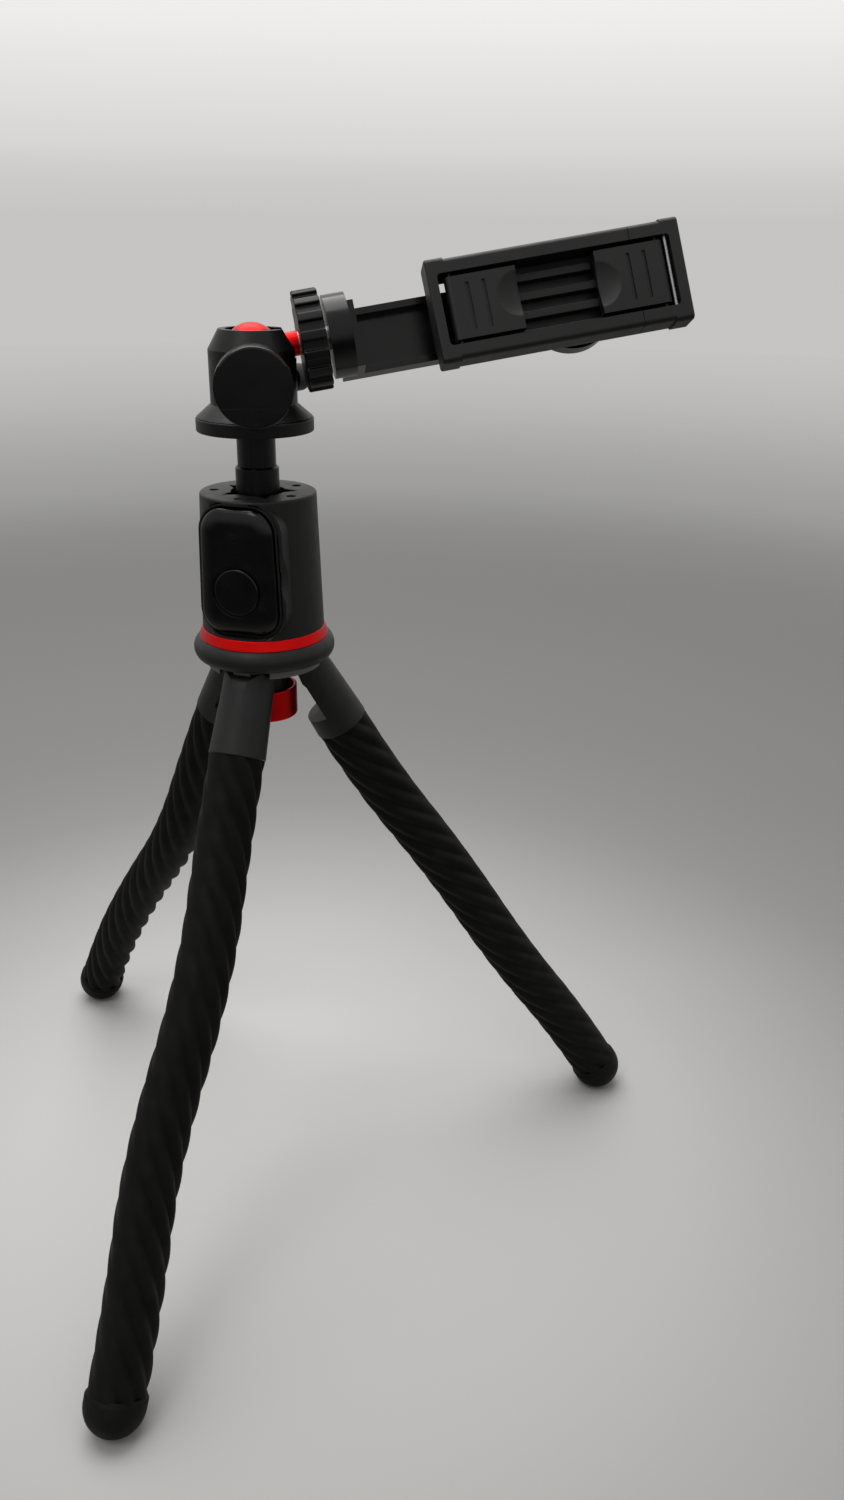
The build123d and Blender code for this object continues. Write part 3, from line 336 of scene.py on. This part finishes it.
finishes = {
    "shell_plastic": moulding("charcoal_moulding", (0.0060, 0.0060, 0.0061), (0.0090, 0.0089, 0.0088),
                              0.48, 0.05, grain=0.35 * mm, grain_depth=0.02 * mm, specular=0.24),
    "head_plastic": moulding("head_moulding", (0.0028, 0.0028, 0.0029), (0.0045, 0.0044, 0.0044),
                             0.42, 0.05, grain=0.3 * mm, grain_depth=0.015 * mm, specular=0.18),
    "gloss_black": polished("polished_black", (0.0008, 0.0008, 0.0009), (0.0016, 0.0016, 0.0017), 0.2),
    "grey_plastic": plate_moulding("hub_plate_moulding"),
    "tube_black": paint("tube_enamel", (0.0010, 0.0010, 0.0011), (0.0020, 0.0020, 0.0021), 0.3),
    "red_anodised": anodised("red_anodised", (0.46, 0.0012, 0.0012), (0.56, 0.0025, 0.0022), 0.36),
    "steel": metal("bright_steel", (0.20, 0.20, 0.205), (0.30, 0.30, 0.31), 0.3, (1, 1, 12)),
    "core_metal": metal("core_wire", (0.55, 0.55, 0.55), (0.7, 0.7, 0.71), 0.4, (6, 6, 1)),
    "leg_rubber": rubber("grooved_rubber", (0.0016, 0.0016, 0.0015), (0.0032, 0.0031, 0.0029),
                         0.66, grain_depth=0.02 * mm),
    "foot_rubber": rubber("foot_rubber", (0.0020, 0.0020, 0.0019), (0.0038, 0.0037, 0.0035),
                          0.64, grain_depth=0.02 * mm),
    "board_green": moulding("board_green", (0.012, 0.11, 0.04), (0.02, 0.16, 0.06),
                            0.4, 0.05, grain=0.5 * mm, grain_depth=0.01 * mm),
}


# Piece making

def direction(azimuth):
    return Vector((cos(radians(azimuth)), sin(radians(azimuth)), 0))


def facing(azimuth, height=0.0, reach=0.0):
    """Matrix whose x is sideways, y up and z outward along an azimuth."""
    out, up = direction(azimuth), Vector((0, 0, 1))
    matrix = Matrix((up.cross(out), up, out)).transposed().to_4x4()
    matrix.translation = out * reach + up * height
    return matrix


def add_piece(work, name, body, slot, *nodes):
    """Makes the shape a piece of the tripod that rides on a body and stands for nodes."""
    mesh = bpy.data.meshes.new(name)
    work.to_mesh(mesh)
    work.free()
    mesh.shade_smooth()
    mesh.set_sharp_from_angle(angle=crease_angle)
    piece = bpy.data.objects.new(name, mesh)
    bpy.context.scene.collection.objects.link(piece)
    mesh.materials.append(finishes[slot])
    if nodes:
        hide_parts(*nodes)
    if body:
        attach(piece, body)
    return piece


def joined_copy(node):
    """A node's shape with its loose triangles merged and its flat faces made whole."""
    work = bmesh.new()
    work.from_mesh(frame["nodes"][node].data)
    bmesh.ops.remove_doubles(work, verts=work.verts, dist=merge_distance)
    bmesh.ops.dissolve_limit(work, angle_limit=flat_angle, verts=work.verts, edges=work.edges)
    return work


def round_edges(work, width, segments=3, chosen=None):
    """Rounds the sharp edges, or those of them that are chosen."""
    sharp = [edge for edge in work.edges
             if len(edge.link_faces) == 2 and edge.calc_face_angle() > sharp_angle
             and (chosen is None or chosen(edge))]
    bmesh.ops.bevel(work, geom=sharp, offset=width, offset_type="OFFSET", segments=segments,
                    profile=0.5, affect="EDGES", clamp_overlap=True, material=-1)


def even_shading(piece):
    """Flat faces keep flat highlights up to their rounded edges."""
    weight = piece.modifiers.new("face_weight", "WEIGHTED_NORMAL")
    weight.keep_sharp = True
    return piece


def softened(node, width, segments=3):
    """A node's own shape with its edges broken as a moulded or turned piece has them."""
    work = joined_copy(node)
    round_edges(work, width, segments)
    return even_shading(add_piece(work, f"finished_{node}", body_of[node], slot_of[node], node))


# Remote

def remote_outline(grow=0.0):
    """The remote's outline as one face, grown by a distance."""
    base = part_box("remote_back")[0].z
    low, top = remote_low_width / 2 + grow, remote_top_width / 2 + grow
    work = bmesh.new()
    corners = [work.verts.new(place) for place in (
        (-low, base - grow, 0), (low, base - grow, 0),
        (top, base + remote_height + grow, 0), (-top, base + remote_height + grow, 0))]
    work.faces.new(corners)
    bmesh.ops.bevel(work, geom=corners, offset=remote_corner + grow, offset_type="OFFSET",
                    segments=corner_steps, profile=0.5, affect="VERTICES", material=-1)
    return work


def remote_body():
    """The remote's front moulding: rounded outline and crowned face; the well for the button is cut into it
    afterwards.
    """
    out = direction(remote_azimuth)
    back_reach = min(corner.co.dot(out) for corner in frame["nodes"]["remote_shell"].data.vertices)
    front_reach = max(corner.co.dot(out) for corner in frame["nodes"]["remote_shell"].data.vertices)
    thickness = front_reach - back_reach
    work = remote_outline()
    face = work.faces[:]
    grown = bmesh.ops.extrude_face_region(work, geom=face)["geom"]
    top = [part for part in grown if isinstance(part, bmesh.types.BMFace)]
    bmesh.ops.translate(work, vec=(0, 0, thickness - pillow_drop),
                        verts=[part for part in grown if isinstance(part, bmesh.types.BMVert)])
    turn = pi / 2 / pillow_steps
    for k in range(pillow_steps):
        inward = pillow_reach * (cos(k * turn) - cos((k + 1) * turn))
        upward = pillow_drop * (sin((k + 1) * turn) - sin(k * turn))
        bmesh.ops.inset_region(work, faces=top, thickness=inward, depth=upward, use_even_offset=True)
    bmesh.ops.transform(work, matrix=facing(remote_azimuth, 0, back_reach), verts=work.verts)
    bmesh.ops.recalc_face_normals(work, faces=work.faces)
    return add_piece(work, "remote_front_moulding", "remote", "gloss_black", "remote_shell")


def well_tool(azimuth, height, radius, floor_reach, over):
    """A round plug that stands on a plane at a distance from the pole axis."""
    work = bmesh.new()
    bmesh.ops.create_cone(work, cap_ends=True, segments=round_steps, radius1=radius, radius2=radius,
                          depth=over)
    bmesh.ops.transform(work, matrix=facing(azimuth, height, floor_reach + over / 2), verts=work.verts)
    return work


def cavity_tool(piece):
    """The room behind the remote's front wall, open at its back."""
    reaches = [corner.co.dot(direction(remote_azimuth)) for corner in piece.data.vertices]
    work = remote_outline(-remote_wall)
    grown = bmesh.ops.extrude_face_region(work, geom=work.faces[:])["geom"]
    bmesh.ops.translate(work, vec=(0, 0, max(reaches) - min(reaches)),
                        verts=[part for part in grown if isinstance(part, bmesh.types.BMVert)])
    bmesh.ops.recalc_face_normals(work, faces=work.faces)
    bmesh.ops.transform(work, matrix=facing(remote_azimuth, 0, min(reaches) - remote_wall),
                        verts=work.verts)
    return work


def seam_tool():
    """A fine upright wall that follows the remote's outline, for the seam round its cradle."""
    work = remote_outline(seam_reach)
    inner = work.faces[:]
    bmesh.ops.inset_region(work, faces=inner, thickness=seam_width, use_boundary=True,
                           use_even_offset=True)
    bmesh.ops.delete(work, geom=inner, context="FACES_ONLY")
    grown = bmesh.ops.extrude_face_region(work, geom=work.faces[:])["geom"]
    bmesh.ops.translate(work, vec=(0, 0, seam_depth * 2),
                        verts=[part for part in grown if isinstance(part, bmesh.types.BMVert)])
    bmesh.ops.recalc_face_normals(work, faces=work.faces)
    bmesh.ops.transform(work, matrix=facing(remote_azimuth, 0, bay_rim_reach - seam_depth),
                        verts=work.verts)
    return work


def cut_away(piece, work):
    """Cuts a tool's shape out of a piece."""
    mesh = bpy.data.meshes.new("cutter")
    work.to_mesh(mesh)
    work.free()
    cutter = bpy.data.objects.new("cutter", mesh)
    bpy.context.scene.collection.objects.link(cutter)
    cut = piece.modifiers.new("cut", "BOOLEAN")
    cut.operation = "DIFFERENCE"
    cut.solver = "EXACT"
    cut.object = cutter
    bpy.context.view_layer.update()
    result = bpy.data.meshes.new_from_object(piece.evaluated_get(bpy.context.evaluated_depsgraph_get()))
    piece.modifiers.remove(cut)
    piece.data = result
    bpy.data.objects.remove(cutter)
    bpy.data.meshes.remove(mesh)
    result.shade_smooth()
    result.set_sharp_from_angle(angle=crease_angle)
    return even_shading(piece)


def signal_mark():
    """Two small raised arcs over a dot, a plain wireless sign."""
    out = direction(remote_azimuth)
    reach = max(corner.co.dot(out) for corner in frame["nodes"]["remote_shell"].data.vertices)
    work = bmesh.new()
    for radius in mark_radii:
        first = work.verts.new((radius, 0, 0))
        second = work.verts.new((radius + mark_line, 0, 0))
        edge = work.edges.new((first, second))
        bmesh.ops.rotate(work, verts=[first, second], matrix=Matrix.Rotation(pi / 4, 3, "Z"))
        bmesh.ops.spin(work, geom=[first, second, edge], axis=(0, 0, 1), angle=pi / 2, steps=mark_steps)
    bmesh.ops.create_circle(work, cap_ends=True, segments=mark_dot_steps,
                            radius=mark_line * mark_dot_share)
    grown = bmesh.ops.extrude_face_region(work, geom=work.faces[:])["geom"]
    bmesh.ops.translate(work, vec=(0, 0, mark_lift),
                        verts=[part for part in grown if isinstance(part, bmesh.types.BMVert)])
    bmesh.ops.recalc_face_normals(work, faces=work.faces)
    bmesh.ops.transform(work, matrix=facing(remote_azimuth, mark_height, reach), verts=work.verts)
    return add_piece(work, "signal_mark", "remote", "head_plastic")


# Legs

def leg_points(name):
    """Route of a leg's centre line, from the socket's end to the foot's centre."""
    azimuth = leg_azimuths[name]
    pivot = Vector(joint_of[f"{name}_leg_fold"]["pos_m"])
    out, side, up = direction(azimuth), direction(azimuth + 90), Vector((0, 0, 1))
    down_leg = out * sin(radians(leg_splay)) - up * cos(radians(leg_splay))
    start = pivot + down_leg * socket_length
    end = out * foot_reach + up * (foot_radius - foot_sink)
    length = (end - start).length
    chord = (end - start).normalized()
    lift = side.cross(chord)
    lift = lift if lift.dot(out) > 0 else -lift
    points = [start, start + down_leg * length * first_run_share]
    for along, bow, sway in leg_route_shares[name]:
        points.append(start + (chord * along + lift * bow + side * sway) * length)
    return points + [end]


def centre_line(points, step):
    """Places along the smooth curve whose control points are the route's, about a step apart."""
    places = [points[0]]
    last = len(points) - 2
    for k in range(1, last + 1):
        start = points[0] if k == 1 else (points[k - 1] + points[k]) / 2
        end = points[-1] if k == last else (points[k] + points[k + 1]) / 2
        count = max(2, round(((points[k] - start).length + (end - points[k]).length) / step))
        for n in range(1, count + 1):
            share = n / count
            places.append(start * (1 - share) ** 2 + points[k] * 2 * share * (1 - share)
                          + end * share ** 2)
    return places


def stations(places, lead):
    """A matrix at each place: z along the leg, turned by the strands' twist."""
    tangents = [(after - before).normalized() for before, after in
                zip([places[0]] + places[:-1], places[1:] + [places[-1]])]
    turn = Vector((0, 0, 1)).rotation_difference(tangents[0])
    walked, matrices = 0.0, []
    for k, place in enumerate(places):
        if k:
            turn = tangents[k - 1].rotation_difference(tangents[k]) @ turn
            walked += (place - places[k - 1]).length
        twist = Matrix.Rotation(-2 * pi * walked / lead, 4, "Z")
        matrices.append(Matrix.Translation(place) @ turn.to_matrix().to_4x4() @ twist)
    return matrices


def shape_ring(ring, station, outer, depth):
    """Rounded strands with narrow grooves between, which fade towards the leg's outer side."""
    turn, back = station.to_3x3(), station.inverted()
    for corner in ring:
        place = back @ corner.co
        angle = atan2(place.y, place.x)
        outward = turn @ Vector((cos(angle), sin(angle), 0))
        share = min(1.0, outer_share + (1 - outward.dot(outer)) / fade_span)
        crest = cos(strand_count * angle / 2) ** 2
        crown = sqrt(crest * (1 - groove_softness) + groove_softness)
        corner.co = station.translation + outward * (ridge_radius - depth * share * (1 - crown))


def grooved_sleeve(name):
    """The rubber sleeve of one leg, with its twisted strands, bent at the knee."""
    points = leg_points(name)
    matrices = stations(centre_line(points, ring_step), strand_lead)
    work = bmesh.new()
    side = direction(leg_azimuths[name] + 90)
    ring = bmesh.ops.create_circle(work, cap_ends=False, segments=strand_count * sides_per_strand,
                                   radius=ridge_radius)["verts"]
    bmesh.ops.transform(work, matrix=matrices[0], verts=ring)
    loop = work.edges[:]
    for before, after in zip([matrices[0]] + matrices, matrices):
        if after is not matrices[0]:
            grown = bmesh.ops.extrude_edge_only(work, edges=loop)["geom"]
            loop = [part for part in grown if isinstance(part, bmesh.types.BMEdge) and part.is_boundary]
            ring = [part for part in grown if isinstance(part, bmesh.types.BMVert)]
            bmesh.ops.transform(work, matrix=after @ before.inverted(), verts=ring)
        along = after.col[2].to_3d()
        smooth = Matrix.Rotation(radians(smooth_turns[name]), 3, along) @ along.cross(side).normalized()
        shape_ring(ring, after, smooth, groove_depths[name])
    bmesh.ops.holes_fill(work, edges=[edge for edge in work.edges if edge.is_boundary], sides=0)
    bmesh.ops.recalc_face_normals(work, faces=work.faces)
    sleeve = add_piece(work, f"{name}_leg_sleeve", None, "leg_rubber",
                       f"{name}_leg_skin_upper", f"{name}_leg_skin_lower")
    along = (points[3] - points[2]).normalized()
    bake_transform(sleeve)
    return sleeve


# Floor, light and camera

def tone_ramp(nodes, links, value, tones):
    """Grey tones at places between 0 and 1, smoothly joined."""
    ramp = nodes.new("ShaderNodeValToRGB")
    ramp.color_ramp.interpolation = "B_SPLINE"
    stops = ramp.color_ramp.elements
    while len(stops) < len(tones):
        stops.new(0.5)
    for stop, (place, tone) in zip(stops, tones):
        stop.position = place
        stop.color = (tone, tone * 0.992, tone * 0.975, 1)
    links.new(value, ramp.inputs["Fac"])
    return ramp.outputs["Color"]


def dimmed(nodes, links, colour, share):
    scale = nodes.new("ShaderNodeVectorMath")
    scale.operation = "SCALE"
    links.new(colour, scale.inputs[0])
    links.new(share, scale.inputs["Scale"])
    return scale.outputs["Vector"]


def seen_directly(nodes, links):
    """One for rays that show the backdrop itself, straight, mirrored or through glass."""
    rays = nodes.new("ShaderNodeLightPath")
    value = rays.outputs["Is Camera Ray"]
    for kind in ("Is Transmission Ray", "Is Glossy Ray"):
        either = nodes.new("ShaderNodeMath")
        either.operation = "MAXIMUM"
        links.new(value, either.inputs[0])
        links.new(rays.outputs[kind], either.inputs[1])
        value = either.outputs["Value"]
    return value


def floor_finish():
    """Pale sheet with painted shade: darker behind the tripod, where light falls off, then a painted glow rising
    again to the backdrop's tone; darker still on the camera's side, painted shade for a dark room.
    """
    finish, nodes, links, shader, place = new_finish("pale_floor_painted_shade")
    distance = nodes.new("ShaderNodeVectorMath")
    distance.operation = "LENGTH"
    links.new(place, distance.inputs[0])
    parts = nodes.new("ShaderNodeSeparateXYZ")
    links.new(place, parts.inputs["Vector"])
    # painted shade: both floor colours are dimmed on the camera's side, for a dark room
    front = span(nodes, links, parts.outputs["Y"], front_painted_shade, 1, -front_end, -front_start)
    near = span(nodes, links, distance.outputs["Value"], 0, 1, 0, near_floor)
    # painted shade: the near tones darken the sheet's colour away from the tripod, as light falls off
    links.new(dimmed(nodes, links, tone_ramp(nodes, links, near, near_painted_shade_tones), front),
              shader.inputs["Base Color"])
    shader.inputs["Roughness"].default_value = 0.85
    shader.inputs["Specular IOR Level"].default_value = 0.1
    # painted glow: away from the tripod the floor glows in painted tones instead of being lit
    far = span(nodes, links, distance.outputs["Value"], 0, 1, 0, floor_radius)
    glow = nodes.new("ShaderNodeEmission")
    links.new(dimmed(nodes, links, tone_ramp(nodes, links, far, far_painted_glow_tones), front),
              glow.inputs["Color"])
    fade = nodes.new("ShaderNodeMath")
    fade.operation = "MULTIPLY"
    links.new(span(nodes, links, distance.outputs["Value"], 0, 1, fade_start, fade_end), fade.inputs[0])
    links.new(seen_directly(nodes, links), fade.inputs[1])
    mix = nodes.new("ShaderNodeMixShader")
    links.new(fade.outputs["Value"], mix.inputs["Fac"])
    links.new(shader.outputs["BSDF"], mix.inputs[1])
    links.new(glow.outputs["Emission"], mix.inputs[2])
    links.new(mix.outputs["Shader"], nodes["Material Output"].inputs["Surface"])
    return finish


def lay_floor():
    work = bmesh.new()
    bmesh.ops.create_circle(work, cap_ends=True, segments=round_steps, radius=floor_radius)
    mesh = bpy.data.meshes.new("floor")
    work.to_mesh(mesh)
    work.free()
    floor = bpy.data.objects.new("floor", mesh)
    bpy.context.scene.collection.objects.link(floor)
    mesh.materials.append(floor_finish())


def light_room():
    """Soft light that grows towards the ceiling, with the backdrop's own tones where it is seen."""
    world = bpy.data.worlds.new("studio")
    bpy.context.scene.world = world
    world.use_nodes = True
    nodes, links = world.node_tree.nodes, world.node_tree.links
    heading = nodes.new("ShaderNodeTexCoord")
    parts = nodes.new("ShaderNodeSeparateXYZ")
    links.new(heading.outputs["Generated"], parts.inputs["Vector"])
    mix = nodes.new("ShaderNodeMix")
    mix.data_type = "RGBA"
    unseen, seen = [socket for socket in mix.inputs if socket.type == "RGBA"]
    links.new(tone_ramp(nodes, links, parts.outputs["Z"], light_tones), unseen)
    links.new(tone_ramp(nodes, links, parts.outputs["Z"], backdrop_tones), seen)
    links.new(seen_directly(nodes, links), mix.inputs["Factor"])
    result = [socket for socket in mix.outputs if socket.type == "RGBA"][0]
    links.new(result, nodes["Background"].inputs["Color"])


def hang_softbox(name, place, aim, size, power):
    lamp = bpy.data.lights.new(name, "AREA")
    lamp.shape = "DISK"
    lamp.size = size
    lamp.energy = power
    softbox = bpy.data.objects.new(name, lamp)
    bpy.context.scene.collection.objects.link(softbox)
    softbox.location = place
    softbox.rotation_euler = (Vector(aim) - Vector(place)).to_track_quat("-Z", "Y").to_euler()


def set_camera():
    lens = bpy.data.cameras.new("photo_camera")
    lens.sensor_width = sensor_width
    lens.lens = focal_pixels / photo_height * sensor_width
    lens.clip_start = camera_clip
    camera = bpy.data.objects.new("photo_camera", lens)
    bpy.context.scene.collection.objects.link(camera)
    camera.matrix_world = (Matrix.Translation(camera_place)
                           @ Matrix.Rotation(radians(90 - camera_pitch), 4, "X")
                           @ Matrix.Rotation(radians(camera_roll), 4, "Z"))
    bpy.context.scene.camera = camera


# The whole tripod

for node, shape in frame["nodes"].items():
    shape.data.materials.clear()
    shape.data.materials.append(finishes[slot_of[node]])

edge_breaks = {
    "handle_shell": 0.25, "remote_cradle": 0.12, "accent_ring": 0.15, "hub_ring": 0.4,
    "hub_plate": 0.25, "lock_knob": 0.25, "pole_tube_large": 0.12, "pole_tube_middle": 0.12,
    "head_base": 0.3, "ball_housing": 0.35, "tension_knob": 0.35, "pan_knob": 0.3,
    "lock_wheel": 0.4, "holder_arm": 0.35, "clamp_frame": 0.35, "guide_rails": 0.25,
    "left_flap": 0.25, "right_flap": 0.25, "clamp_slider": 0.35, "shutter_button": 0.25,
    "front_leg_socket": 0.3, "right_leg_socket": 0.3, "rear_leg_socket": 0.3,
    "front_foot_cap": 0.3, "right_foot_cap": 0.3, "rear_foot_cap": 0.3,
}
finished = {node: softened(node, width * mm) for node, width in edge_breaks.items()}
# The tension knob is blacker than the head that it clamps.
finished["tension_knob"].data.materials[0] = finishes["gloss_black"]
cut_away(finished["handle_shell"], seam_tool())
cut_away(finished["remote_cradle"], seam_tool())

remote = remote_body()
face_reach = max(corner.co.dot(direction(remote_azimuth)) for corner in remote.data.vertices)
button_low, button_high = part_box("shutter_button")
button_height = (button_low.z + button_high.z) / 2
cut_away(remote, well_tool(remote_azimuth, button_height, button_ring_radius,
                           face_reach - button_ring_depth, button_well_over))
cut_away(remote, cavity_tool(remote))
cut_away(remote, well_tool(remote_azimuth, button_height, button_hole_radius,
                           face_reach - button_hole_depth, button_hole_depth * 2))
signal_mark()

for name in leg_names:
    grooved_sleeve(name)

lay_floor()
light_room()
for name, (place, aim, size, power) in softboxes.items():
    hang_softbox(name, place, aim, size, power)
set_camera()
bpy.context.scene.view_settings.view_transform = "Standard"
